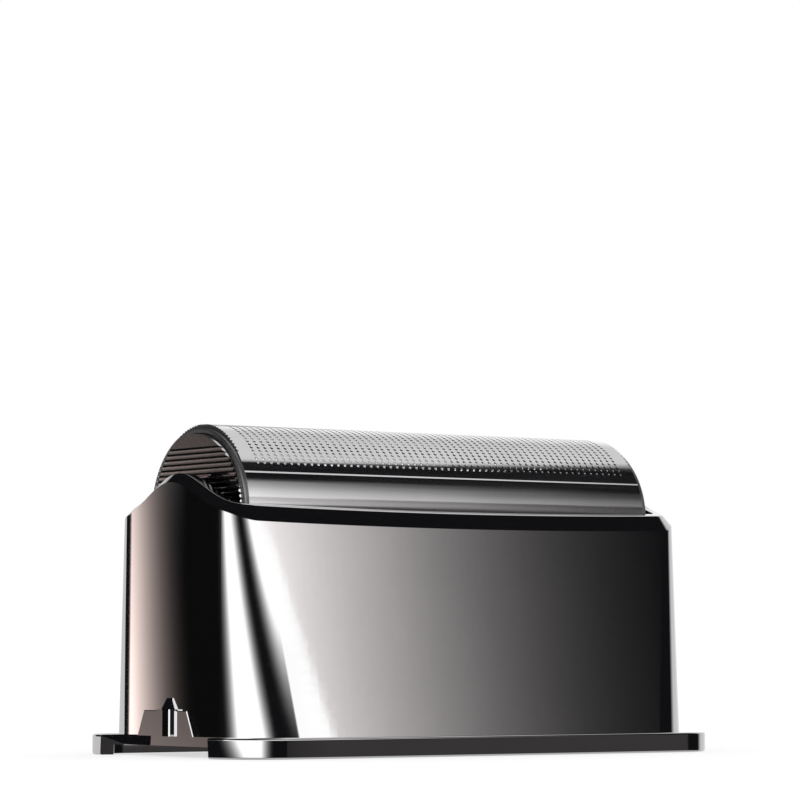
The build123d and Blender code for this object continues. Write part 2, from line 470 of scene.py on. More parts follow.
@dataclass(frozen=True)
class Finish:
    """A procedural finish: polished plating, drawn foil or moulded plastic."""

    name: str
    clean: Colour
    hazed: Colour
    roughness: float
    rough_spread: float
    relief: float
    texture: Texture = Texture.DRAWN
    relief_strength: float = 0.2
    metallic: float = 1.0

    def material(self) -> bpy.types.Material:
        """Build the finish."""
        material = bpy.data.materials.new(self.name)
        material.use_nodes = True
        graph = Graph(material.node_tree)
        wear = graph.add("ShaderNodeGroup", node_tree=wear_group()).outputs
        texture = wear[self.texture.value]
        relief = {"Height": texture, "Distance": self.relief * MM, "Strength": self.relief_strength}
        shader = graph.add("ShaderNodeBsdfPrincipled", {
            "Base Color": graph.blend(wear["Haze"], (*self.clean, 1.0), (*self.hazed, 1.0)),
            "Roughness": graph.math("MULTIPLY_ADD", texture, self.rough_spread, self.roughness),
            "Metallic": self.metallic,
            "Normal": graph.add("ShaderNodeBump", relief).outputs[0],
        })
        graph.add("ShaderNodeOutputMaterial", {"Surface": shader.outputs[0]})
        return material


@dataclass
class Housing:
    """The plated moulding: base flange, tapered wall, wavy bevelled rim, and an end pad with its key."""

    finish: Finish
    node: str = "housing"
    flange_corner: float = 4.68
    flange_height: float = 1.72
    flange_round: float = 0.18
    plate_z: float = 0.85
    lip_width: float = 1.32
    end_ledge: float = 1.91
    side_ledge: float = 1.33
    foot_corner: float = 5.05
    shoulder_z: float = 19.5
    shoulder_corner: float = 2.44
    end_draft: float = 0.13
    side_draft: float = 2.4
    wall: float = 1.6
    inner_corner: float = 0.8
    rim_low: float = 20.5
    bevel_depth: float = 0.85
    front_bevel: float = 1.42
    end_bevel: float = 0.8
    rim_round: float = 0.25
    notch_half: float = 8.55
    notch_undercut: float = 1.1
    notch_draft: float = 0.08
    web_lap: float = 0.1
    pad_stand: float = 0.25
    pad_half_foot: float = 4.45
    pad_half_top: float = 3.42
    pad_height: float = 2.15
    pad_break: float = 0.06
    key_y: float = -0.45
    key_half: float = 0.95
    key_stand: float = 0.53
    key_fall: float = 0.08
    key_break: float = 0.1
    key_flare: float = 0.3
    key_height: float = 2.25
    key_tip_foot_share: float = 0.6
    key_tip_share: float = 0.15
    key_tip_stand: float = -0.1
    key_tip_height: float = 0.95
    stop_rib_half: float = 0.6
    stop_rib_foot_z: float = 12.5
    stop_rib_height: float = 5.0
    stop_rib_spacing: float = 14.0
    holder_reach: float = 0.8
    bead_half_length: float = 3.0
    bead_top_z: float = 11.5
    bead_height: float = 0.8
    bead_half_spacing: float = 7.0
    end_steps: int = 14
    corner_steps: int = 44
    front_steps: int = 28
    wall_rows: int = 25
    inside_rows: int = 11
    bevel_shares: tuple[float, ...] = (0.0, 0.3, 0.6, 0.85, 0.95)
    rim_round_steps: int = 7
    rim_shares: tuple[float, ...] = (0.1, 0.5)
    lip_round_steps: int = 6
    strip_corner_steps: int = 40
    strip_front_steps: int = 25
    web_steps: int = 33
    skin: Skin = field(default_factory=Skin)

    def __post_init__(self) -> None:
        """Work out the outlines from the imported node's reach."""
        notch_reach, half_width, top = node_reach(self.node)
        half_length = notch_reach + Oval.end_bow - math.sqrt(Oval.end_bow**2 - self.notch_half**2)
        self.flange = Oval(half_length, half_width, self.flange_corner)
        self.foot = Oval(half_length - self.end_ledge, half_width - self.side_ledge, self.foot_corner)
        self.shoulder = Oval(
            self.foot.half_length - self.end_draft,
            self.foot.half_width - self.side_draft,
            self.shoulder_corner,
        )
        self.inner_foot = self.foot.inset(self.wall, self.inner_corner)
        self.inner_shoulder = self.shoulder.inset(self.wall, self.inner_corner)
        crest_x = self.shoulder.half_length - self.bevel_depth
        self.rim = RimWave(self.rim_low, top)
        dip = self.rim.height(np.array([crest_x, 0.0])) - top
        self.rim = RimWave(self.rim_low, top - dip)

    def stations(self) -> np.ndarray:
        """Facing angles all round the wall, closest together where it bends."""
        end, front = self.shoulder.turns()
        quarter = [
            np.linspace(0.0, end, self.end_steps, endpoint=False),
            np.linspace(end, front, self.corner_steps, endpoint=False),
            np.linspace(front, math.pi / 2, self.front_steps, endpoint=False),
        ]
        first = np.concatenate(quarter)
        second = np.append(math.pi / 2, math.pi - first[:0:-1])
        half = np.concatenate([first, second])
        return np.concatenate([half, half + math.pi])

    def wall_at(self, facing: np.ndarray, z: np.ndarray, inner: bool = False) -> np.ndarray:
        """Points of the wall's outer or inner face.

        Args:
            facing: Facing angles of the points.
            z: Their heights.
            inner: Whether they lie on the inner face.

        Returns:
            The points.
        """
        foot, shoulder = (self.inner_foot, self.inner_shoulder) if inner else (self.foot, self.shoulder)
        share = (z - self.flange_height) / (self.shoulder_z - self.flange_height)
        low, high = foot.at(facing), shoulder.at(facing)
        return raised(low + (high - low) * share[..., None], z)

    def build_wall(self) -> None:
        """The wall: tapered outside, bevel, rounded rim, and inside."""
        facing = self.stations()
        out = np.stack([np.cos(facing), np.sin(facing)], axis=-1)
        high = np.full(facing.shape, self.rim_low)
        edge = self.wall_at(facing, high)[:, :2] - out * self.bevel_depth
        top = self.rim.height(edge)
        rise = self.front_bevel * out[:, 1] ** 2 + self.end_bevel * out[:, 0] ** 2
        low = top - rise

        shares = np.linspace(0.0, 1.0, self.wall_rows)[:, None]
        rows = self.wall_at(facing, self.flange_height + shares * (low - self.flange_height))
        lean = (self.shoulder.at(facing) - self.foot.at(facing)) * out
        slope = lean.sum(axis=-1) / (self.shoulder_z - self.flange_height)
        normals = np.broadcast_to(raised(out, -slope), rows.shape)
        self.skin.dressed_patch(rows, normals, True, False)

        inner_z = self.rim.height(self.wall_at(facing, top, inner=True))
        inner_edge = self.wall_at(facing, inner_z, inner=True)
        self.skin.patch(np.stack(self.rim_rows(rows[-1], out, rise, inner_edge)), around=True)

        down = np.linspace(1.0, 0.0, self.inside_rows)[:, None]
        inside = self.wall_at(facing, self.flange_height + down * (inner_z - self.flange_height), inner=True)
        self.skin.patch(inside, around=True)
        self.skin.patch(np.stack([inside[-1], rows[0]]), around=True)

    def rim_rows(
        self, start: np.ndarray, out: np.ndarray, rise: np.ndarray, end: np.ndarray
    ) -> list[np.ndarray]:
        """Rows of points over the bevel, the rounded top edge and the flat rim.

        Args:
            start: The bevel's lower edge.
            out: Outward directions there.
            rise: The bevel's height there.
            end: The rim's inner edge.

        Returns:
            The rows, from the outside in.
        """
        slant = np.arctan2(rise, self.bevel_depth)
        reach = self.rim_round * np.tan(slant / 2)
        bevel_in = self.bevel_depth - reach * np.cos(slant)
        bevel_up = rise - reach * np.sin(slant)
        steps = [(bevel_in * share, bevel_up * share) for share in self.bevel_shares]
        for share in np.linspace(0.0, 1.0, self.rim_round_steps):
            angle = slant * (1.0 - share)
            inward = self.bevel_depth + reach - self.rim_round * np.sin(angle)
            steps.append((inward, rise - self.rim_round * (1.0 - np.cos(angle))))
        rows = [raised(start[:, :2] - out * inward[:, None], start[:, 2] + up) for inward, up in steps]
        edge = rows[-1]
        rows += [edge + (end - edge) * share for share in self.rim_shares]
        return [*rows, end]

    def strip_facing(self, outline: Oval, z: float) -> np.ndarray:
        """Facing angles of the front stretch of an outline at a height, from notch to notch."""
        start = outline.facing_at_y(self.notch_half + self.notch_draft * (self.flange_height - z))
        front = outline.turns()[1]
        left = np.concatenate([
            np.linspace(start, front, self.strip_corner_steps, endpoint=False),
            np.linspace(front, math.pi / 2, self.strip_front_steps, endpoint=False),
        ])
        return np.concatenate([math.pi + left, [1.5 * math.pi], 2 * math.pi - left[::-1]])

    def strip(self, outline: Oval, z: float) -> np.ndarray:
        """Front stretch of an outline at a height."""
        return raised(outline.at(self.strip_facing(outline, z)), z)

    def build_flange(self) -> None:
        """The flange: a front and a rear strip with a lip, and the web that joins them at each notch."""
        cavity, lip = self.inner_foot, self.flange.inset(self.lip_width)
        edge = self.flange_round
        curve = np.linspace(0.0, math.pi / 2, self.lip_round_steps)
        profile = [(edge * (1 - math.sin(a)), self.flange_height - edge * (1 - math.cos(a))) for a in curve]
        profile += [(edge * (1 - math.cos(a)), edge * (1 - math.sin(a))) for a in curve]
        rim = np.stack([self.strip(self.flange.inset(depth), z) for depth, z in profile])
        top_inner, plate_inner = self.strip(cavity, self.flange_height), self.strip(cavity, self.plate_z)
        lip_foot, lip_top = self.strip(lip, 0.0), self.strip(lip, self.plate_z)
        strip = Skin()
        strip.patch(rim, flip=True)
        for first, second in ((top_inner, rim[0]), (rim[-1], lip_foot), (lip_foot, lip_top),
                              (lip_top, plate_inner), (plate_inner, top_inner)):
            strip.patch(np.stack([first, second]), flip=True)
        loop = np.concatenate([[top_inner], rim, [lip_foot, lip_top, plate_inner]])
        strip.flat(loop[::-1, 0])
        strip.flat(loop[:, -1])
        for mirror in (1, -1):
            self.skin.add(strip, (1, mirror, 1))

        web_end = cavity.facing_at_y(self.notch_half + self.web_lap)
        facing = np.linspace(-1.0, 1.0, self.web_steps) * web_end
        inner = cavity.at(facing)
        floor_x = self.foot.half_length - self.notch_undercut
        floor = np.stack([np.full(facing.size, floor_x), inner[:, 1]], axis=-1)
        web = Skin()
        ring = [raised(inner, self.plate_z), raised(inner, self.flange_height),
                raised(floor, self.flange_height), raised(floor, self.plate_z)]
        for first, second in zip(ring, ring[1:] + ring[:1]):
            web.patch(np.stack([first, second]))
        web.flat(np.stack(ring)[:, 0])
        web.flat(np.stack(ring)[::-1, -1])
        for side in Side:
            self.skin.add(web, (side.value, 1, 1))

    def build_pads(self) -> None:
        """A flat pad with a pointed key over each notch."""
        face_x = self.foot.half_length + self.pad_stand
        low, high = self.flange_height, self.flange_height + self.pad_height
        outline = np.array([(-self.pad_half_foot, low), (self.pad_half_foot, low),
                            (self.pad_half_top, high), (-self.pad_half_top, high)])
        middle = outline.mean(axis=0)
        shrunk = outline - np.sign(outline - middle) * self.pad_break
        shrunk[:2, 1] = low
        loops = [(self.foot.half_length - self.wall / 2, outline), (face_x - self.pad_break, outline),
                 (face_x, shrunk)]
        rings = [stood(ring, x) for x, ring in loops]
        pad = Skin()
        pad.loft(rings)
        self.add_key(pad, face_x)
        for side in Side:
            self.skin.add(pad, (side.value, 1, 1))

    def add_key(self, pad: Skin, face_x: float) -> None:
        """Add the pad's key: a flat-sided post with a slanted front and a pointed tip.

        Args:
            pad: The skin that takes the key.
            face_x: Place of the pad's face.
        """
        half, front = self.key_half, self.key_stand
        corner, fall = self.key_break, self.key_stand - self.key_fall
        sunk = self.wall / 2
        foot = half + self.key_flare * (sunk + fall - corner)
        outline = np.array([(front, half), (front, 0.0), (fall, corner - half), (fall - corner, -half),
                            (-sunk, -foot), (-sunk, half)])
        tip = np.array([self.key_tip_stand, 0.0])
        low = self.flange_height
        post_z = low + self.key_height
        plans = [(outline, low), (outline, post_z),
                 (tip + (outline - tip) * self.key_tip_foot_share, post_z),
                 (tip + (outline - tip) * self.key_tip_share, post_z + self.key_tip_height)]
        pad.loft([raised(plan + np.array([face_x, self.key_y]), z) for plan, z in plans])

    def prism(self, section: np.ndarray, x: float, half_length: float) -> Skin:
        """Straight bar along X.

        Args:
            section: Corners in Y and Z, anticlockwise seen from +X.
            x: Place of its middle.
            half_length: Half of its length.

        Returns:
            The bar's skin.
        """
        bar = Skin()
        bar.loft([stood(section, x + side.value * half_length) for side in Side])
        return bar

    def build_holders(self) -> None:
        """Stop ribs and snap beads for the carrier, on the insides of the long walls."""
        def wall_y(z: float) -> float:
            """Half width inside the wall at a height."""
            return float(self.wall_at(np.array([math.pi / 2]), np.array([z]), inner=True)[0, 1])

        foot, head = self.stop_rib_foot_z, self.stop_rib_foot_z + self.stop_rib_height
        sink = self.wall / 2
        reach = wall_y(foot) - self.holder_reach
        rib = np.array([(reach, foot), (wall_y(foot) + sink, foot),
                        (wall_y(head) + sink, head), (reach, head)])
        low = self.bead_top_z - self.bead_height
        nose = wall_y(self.bead_top_z) - self.holder_reach
        bead = np.array([(nose, self.bead_top_z - self.bead_height / 3), (wall_y(low) + sink, low),
                         (wall_y(self.bead_top_z) + sink, self.bead_top_z), (nose, self.bead_top_z)])
        bars = [self.prism(rib, step * self.stop_rib_spacing, self.stop_rib_half) for step in (-1, 0, 1)]
        bars += [self.prism(bead, side.value * self.bead_half_spacing, self.bead_half_length)
                 for side in Side]
        for bar in bars:
            for mirror in (1, -1):
                self.skin.add(bar, (1, mirror, 1))

    def build(self) -> bpy.types.Object:
        """Build the whole housing and dress it."""
        self.build_wall()
        self.build_flange()
        self.build_pads()
        self.build_holders()
        return self.skin.piece("plated_housing", [self.finish.material()], Slot.HOUSING, self.node)


@dataclass
class Foil:
    """The arched shaving foil with its field of fine holes and its notched end edges."""

    finish: Finish
    node: str = "foil"
    thickness: float = 0.05
    zone_sink: float = 0.07
    columns: int = 58
    column_pitch: float = 0.68
    rows_each_side: int = 18
    row_step: float = math.radians(3.2)
    hole_radius: float = 0.13
    lip_width: float = 0.02
    lip_depth: float = 0.02
    notched_rows: int = 15
    notch_cell: float = 0.34
    crease_angle: float = math.radians(65.0)
    crease_half: float = math.radians(0.8)
    margin_steps: int = 6
    crease_steps: int = 5
    skirt_steps: int = 14
    leg_steps: int = 6
    skin: Skin = field(default_factory=Skin)

    def __post_init__(self) -> None:
        """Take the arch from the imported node's reach."""
        self.half_length, self.radius, apex = node_reach(self.node)
        self.centre_z = apex - self.radius
        self.leg_z = node_foot(self.node)[2]
        self.zone_radius = self.radius - self.zone_sink
        self.half_row = self.zone_radius * self.row_step / 2
        self.centres = (np.arange(self.columns) - (self.columns - 1) / 2) * self.column_pitch
        self.field_edge = self.centres[-1] + self.column_pitch / 2
        self.notch_edge = self.half_length - self.notch_cell

    def wrap(self, flat: np.ndarray, depth: float | np.ndarray = 0.0) -> np.ndarray:
        """Points of the arch from places along X and round the arch.

        Args:
            flat: Places as x and arc length from the apex towards the front.
            depth: Depth or depths under the outer face.

        Returns:
            The points.
        """
        angle = flat[..., 1] / self.zone_radius
        radius = self.zone_radius - depth
        z = self.centre_z + radius * np.cos(angle)
        return np.stack([flat[..., 0], -radius * np.sin(angle), z], axis=-1)

    def radial(self, flat: np.ndarray) -> np.ndarray:
        """Outward normals of the arch at the same places."""
        angle = flat[..., 1] / self.zone_radius
        return np.stack([np.zeros_like(angle), -np.sin(angle), np.cos(angle)], axis=-1)

    def outer_face(self, flat: np.ndarray) -> None:
        """The sheet's outer face over flat quads, wound anticlockwise seen from outside."""
        self.skin.faces(self.wrap(flat), self.radial(flat))

    def inner_face(self, flat: np.ndarray) -> None:
        """The sheet's inner face over flat quads wound like the outer ones."""
        self.skin.faces(self.wrap(flat, self.thickness)[:, ::-1], -self.radial(flat)[:, ::-1])

    def half_cell(self, x: float, arc: float, side: int, reach: float) -> None:
        """One half of a lipped hole with the sheet round it.

        Args:
            x: Place of the hole along X.
            arc: Its place round the arch.
            side: One for the half towards +X, minus one for the other.
            reach: How far the sheet goes from the hole's middle.
        """
        up = self.half_row
        around = np.array([(0, up), (side * reach, up), (side * reach, 0), (side * reach, -up), (0, -up)])
        turn = math.pi / 2 - side * np.linspace(0.0, math.pi, len(around))
        circle = np.stack([np.cos(turn), np.sin(turn)], axis=-1)
        if side < 0:
            around, circle = around[::-1], circle[::-1]
        middle = np.array([x, arc])
        lip, hole = middle + (self.hole_radius + self.lip_width) * circle, middle + self.hole_radius * circle
        around = middle + around
        self.outer_face(np.stack([around[:-1], around[1:], lip[1:], lip[:-1]], axis=1))
        self.inner_face(np.stack([around[:-1], around[1:], hole[1:], hole[:-1]], axis=1))
        angle = arc / self.zone_radius
        forward = np.array([0.0, -math.cos(angle), -math.sin(angle)])
        inward = -circle[:, :1] * np.array([1.0, 0.0, 0.0]) - circle[:, 1:] * forward
        slope = self.lip_width / self.lip_depth
        slant = inward + slope * self.radial(lip)
        throat = self.wrap(hole, self.lip_depth)
        stretches = ((self.wrap(lip), throat, slant), (throat, self.wrap(hole, self.thickness), inward))
        for top, deep, bend in stretches:
            walls = np.stack([top[:-1], top[1:], deep[1:], deep[:-1]], axis=1)
            self.skin.faces(walls, np.stack([bend[:-1], bend[1:], bend[1:], bend[:-1]], axis=1))

    def plain_cell(self, low_x: float, high_x: float, arc: float) -> None:
        """A row's stretch of sheet with no hole, in two quads."""
        for start, stop in ((arc - self.half_row, arc), (arc, arc + self.half_row)):
            ring = np.array([[(high_x, start), (low_x, start), (low_x, stop), (high_x, stop)]])
            self.outer_face(ring)
            self.inner_face(ring)

    def edge_face(self, side: Side, ring: list[tuple[float, float]]) -> None:
        """A flat face at the sheet's end.

        Args:
            side: The end of the head.
            ring: Corners as places round the arch and depths, ordered for the end that faces +X.
        """
        places = np.array(ring if side is Side.RIGHT else ring[::-1])
        flat = np.column_stack([np.full(len(places), side.value * self.half_length), places[:, 0]])
        self.skin.flat(self.wrap(flat, places[:, 1]))

    def build_edge(self, side: Side, row: int) -> None:
        """One row's stretch of the end edge, with half a hole where the edge is notched.

        Args:
            side: The end of the head.
            row: The row's number from the apex.
        """
        arc, up, deep = row * 2 * self.half_row, self.half_row, self.thickness
        if abs(row) > self.notched_rows:
            self.plain_cell(*sorted((side.value * self.notch_edge, side.value * self.half_length)), arc)
            for start, stop in ((arc - up, arc), (arc, arc + up)):
                self.edge_face(side, [(start, 0.0), (stop, 0.0), (stop, deep), (start, deep)])
            return
        self.half_cell(side.value * self.half_length, arc, -side.value, self.notch_cell)
        lip, hole = self.hole_radius + self.lip_width, self.hole_radius
        tooth = [(-up, 0.0), (-lip, 0.0), (-hole, self.lip_depth), (-hole, deep), (-up, deep)]
        self.edge_face(side, [(arc + along, depth) for along, depth in tooth])
        self.edge_face(side, [(arc - along, depth) for along, depth in reversed(tooth)])

    def build_field(self) -> None:
        """The perforated top of the arch, with half holes along its two end edges."""
        for row in range(-self.rows_each_side, self.rows_each_side + 1):
            arc = row * 2 * self.half_row
            for x in self.centres:
                self.half_cell(x, arc, -1, self.column_pitch / 2)
                self.half_cell(x, arc, 1, self.column_pitch / 2)
            for side in Side:
                self.plain_cell(*sorted((side.value * self.field_edge, side.value * self.notch_edge)), arc)
                self.build_edge(side, row)

    def column_lines(self) -> np.ndarray:
        """Places along X at which the field's columns and their middles meet the skirts."""
        pairs = np.stack([self.centres - self.column_pitch / 2, self.centres], axis=-1)
        right = [self.field_edge, self.notch_edge, self.half_length]
        return np.concatenate([[-self.half_length, -self.notch_edge], pairs.reshape(-1), right])

    def build_skirt(self) -> None:
        """The plain sides of the arch under the holes, with their crease, and the straight legs."""
        start = (2 * self.rows_each_side + 1) * self.half_row / self.zone_radius
        low, high = self.crease_angle - self.crease_half, self.crease_angle + self.crease_half
        angles = np.concatenate([
            np.linspace(start, low, self.margin_steps),
            np.linspace(low, high, self.crease_steps)[1:],
            np.linspace(high, math.pi / 2, self.skirt_steps)[1:],
        ])
        share = np.clip((angles - low) / (high - low), 0.0, 1.0)
        radius = self.zone_radius + self.zone_sink * share
        legs = np.linspace(self.centre_z, self.leg_z, self.leg_steps)[1:]
        x = self.column_lines()
        faces = []
        for depth in (0.0, self.thickness):
            y = np.append(-(radius - depth) * np.sin(angles), np.full(legs.size, -(self.radius - depth)))
            z = np.append(self.centre_z + (radius - depth) * np.cos(angles), legs)
            grid = np.zeros((y.size, x.size, 3))
            grid[..., 0], grid[..., 1], grid[..., 2] = x, y[:, None], z[:, None]
            faces.append(grid)
        outer, inner = faces
        skirt = Skin()
        skirt.patch(outer, flip=True)
        skirt.patch(inner)
        skirt.patch(np.stack([outer[:, 0], inner[:, 0]]), flip=True)
        skirt.patch(np.stack([outer[:, -1], inner[:, -1]]))
        skirt.patch(np.stack([outer[-1], inner[-1]]), flip=True)
        for mirror in (1, -1):
            self.skin.add(skirt, (1, mirror, 1))

    def build(self) -> bpy.types.Object:
        """Build the whole foil and dress it."""
        self.build_field()
        self.build_skirt()
        return self.skin.piece("shaving_foil", [self.finish.material()], Slot.FOIL, self.node)


@dataclass
class EndCap:
    """A D-shaped cap at one end of the foil: rounded collar, groove, and a plate with level ribs."""

    plate_finish: bpy.types.Material
    collar_finish: bpy.types.Material
    side: Side
    base: float = 0.1
    crown_drop: float = 0.42
    collar_height: float = 0.4
    collar_round: float = 0.14
    collar_width: float = 0.42
    groove_width: float = 0.13
    plate_height: float = 0.53
    plate_draft: float = 0.12
    plate_lean: float = 0.05
    brow_height: float = 1.3
    rib_pitch: float = 0.44
    rib_depth: float = 0.26
    rib_land: float = 0.12
    rib_count: int = 14
    pin_radius: float = 0.7
    pin_length: float = 1.1
    pin_half_spacing: float = 4.0
    pin_rise: float = 2.8
    arch_steps: int = 73
    leg_steps: int = 9
    round_steps: int = 7
    brow_steps: int = 15
    tail_steps: int = 5
    pin_steps: int = 24

    def __post_init__(self) -> None:
        """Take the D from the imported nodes."""
        self.node = f"end_cap_{self.side.name.lower()}"
        self.base_x, self.radius, apex = node_reach("foil")
        self.centre_z = apex - self.radius
        self.foot_z = node_foot(self.node)[2]
        self.flatness = 1.0 - self.crown_drop / self.radius
        self.plate_radius = self.radius - self.collar_width - self.groove_width

    def arch_line(self, inset: float) -> np.ndarray:
        """Points in Y and Z round the D, from the front leg's foot to the rear leg's foot.

        Args:
            inset: Depth inside the foil's outer face.

        Returns:
            The points, one row each.
        """
        radius = self.radius - inset
        angles = np.linspace(-math.pi / 2, math.pi / 2, self.arch_steps)
        rise = self.flatness * radius * np.cos(angles)
        bend = np.column_stack([radius * np.sin(angles), self.centre_z + rise])
        legs = np.linspace(self.foot_z, self.centre_z, self.leg_steps)[:-1]
        front = np.column_stack([np.full(legs.size, -radius), legs])
        rear = np.column_stack([np.full(legs.size, radius), legs[::-1]])
        return np.concatenate([front, bend, rear])

    def ring(self, inset: float, out: float) -> np.ndarray:
        """The D's line at an inset and a distance out from the foil's end."""
        return stood(self.arch_line(inset), self.base_x + out)

    def collar_profile(self) -> list[list[tuple[float, float]]]:
        """Stretches of the collar's section, as inset and distance out."""
        bend, inner = self.collar_round, self.collar_width
        turns = np.linspace(0.0, math.pi / 2, self.round_steps)
        rounded = [(bend * (1 - math.cos(a)), self.collar_height - bend * (1 - math.sin(a))) for a in turns]
        return [
            [(0.0, 0.0), *rounded, (inner, self.collar_height)],
            [(inner, self.collar_height), (inner, self.base)],
        ]

    def levels(self) -> list[tuple[float, float]]:
        """Heights down the plate, with its face's distance out at each."""
        crown = self.flatness * self.plate_radius
        brow = math.acos(1 - (self.brow_height - self.rib_pitch / 2) / crown)
        turns = np.linspace(0.0, brow, self.brow_steps)[:-1]
        steps = [(self.centre_z + crown * math.cos(turn), self.plate_height) for turn in turns]
        first = self.centre_z + crown - self.brow_height
        mouth = (self.rib_pitch - self.rib_land) / 2
        for rib in range(self.rib_count):
            valley = first - rib * self.rib_pitch
            steps += [(valley + mouth, self.plate_height), (valley, self.plate_height - self.rib_depth),
                      (valley - mouth, self.plate_height)]
        tail = np.linspace(steps[-1][0], self.foot_z, self.tail_steps)[1:]
        return steps + [(z, self.plate_height) for z in tail]

    def build_plate(self, skin: Skin) -> None:
        """The ribbed plate: its face in level strips, and its side all round."""
        plate = self.plate_radius
        places = np.array(self.levels())
        rise = np.maximum(places[:, 0] - self.centre_z, 0.0)
        half = np.sqrt(np.maximum(plate**2 - (rise / self.flatness) ** 2, 0.0))
        grow = self.plate_draft / plate
        x = self.base_x + places[:, 1] + self.plate_lean * rise
        left = np.column_stack([x, -half, places[:, 0]])
        right = np.column_stack([x, half, places[:, 0]])
        for at in range(len(places) - 1):
            skin.flat(np.stack([left[at], left[at + 1], right[at + 1], right[at]]))
        outward = np.column_stack([half, rise / self.flatness**2])
        lean = np.full(len(places), self.plate_draft / self.plate_height)
        outward = np.column_stack([lean, unit(outward)])
        backs = []
        for line, sign in ((left, -1), (right, 1)):
            back = line.copy()
            back[:, 0] = self.base_x
            back[:, 1] *= 1.0 + grow
            back[:, 2] += grow * rise
            normals = outward * np.array([1.0, sign, 1.0])
            skin.dressed_patch(np.stack([back, line]), np.stack([normals, normals]), False, sign > 0)
            backs.append(back)
        skin.flat(np.concatenate([backs[0][::-1], backs[1][1:]]))
        skin.flat(np.stack([backs[0][-1], backs[1][-1], right[-1], left[-1]]))

    def build_pins(self, skin: Skin) -> None:
        """The two pins at the cap's back."""
        turn = np.linspace(0.0, 2 * math.pi, self.pin_steps, endpoint=False)
        for sign in (-1, 1):
            y = sign * self.pin_half_spacing + self.pin_radius * np.cos(turn)
            z = self.foot_z + self.pin_rise + self.pin_radius * np.sin(turn)
            circle = np.column_stack([y, z])
            ends = [stood(circle, self.base_x - depth) for depth in (self.pin_length, 0.0)]
            skin.patch(np.stack(ends), around=True)
            skin.flat(ends[0][::-1])
            skin.flat(ends[1])

    def build(self) -> bpy.types.Object:
        """Build the cap at its end and dress it."""
        skin = Skin()
        skin.finish = CapFinish.COLLAR.value
        section = [(0.0, 0.0)]
        for stretch in self.collar_profile():
            skin.patch(np.stack([self.ring(inset, out) for inset, out in stretch]), flip=True)
            section += stretch[1:]
        skin.flat(self.ring(0.0, 0.0))
        skin.flat(self.ring(self.collar_width, self.base)[::-1])
        ends = np.stack([self.ring(inset, out)[[0, -1]] for inset, out in section])
        skin.flat(np.concatenate([ends[:, 1], ends[::-1, 0]]))
        skin.finish = CapFinish.PLATE.value
        self.build_plate(skin)
        self.build_pins(skin)
        placed = Skin()
        placed.add(skin, (self.side.value, 1, 1))
        name = f"ribbed_cap_{self.side.name.lower()}"
        return placed.piece(name, [self.plate_finish, self.collar_finish], Slot.CAP, self.node)


@dataclass(frozen=True)
class MouldedParts:
    """The carrier and the clamp bars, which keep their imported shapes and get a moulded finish."""

    carrier: Finish
    clamp: Finish

    def dress(self) -> None:
        """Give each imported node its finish."""
        bar = self.clamp.material()
        finishes = {"foil_carrier": self.carrier.material(), "clamp_bar_front": bar, "clamp_bar_rear": bar}
        for node, material in finishes.items():
            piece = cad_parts[node]
            piece.data.materials.clear()
            piece.data.materials.append(material)
            LOG.info("%s: %s", node, material.name)


@dataclass(frozen=True)
class Panel:
    """A soft-edged panel of the studio round the head, in degrees.

    Bearings run from the camera's own side, positive to its right. Each edge is given by where its fade
    starts and ends.
    """

    left: tuple[float, float]
    right: tuple[float, float]
    foot: tuple[float, float]
    top: tuple[float, float]
    colour: Colour
    left_lean: float = 0.0
    right_lean: float = 0.0
    tilt: float = 0.0
    falloff: float = 1.0

    def edges(self) -> dict[str, tuple[float, float]]:
        """The fades of the four edges, by the edges' names."""
        return {"Left": self.left, "Right": self.right, "Foot": self.foot, "Top": self.top}


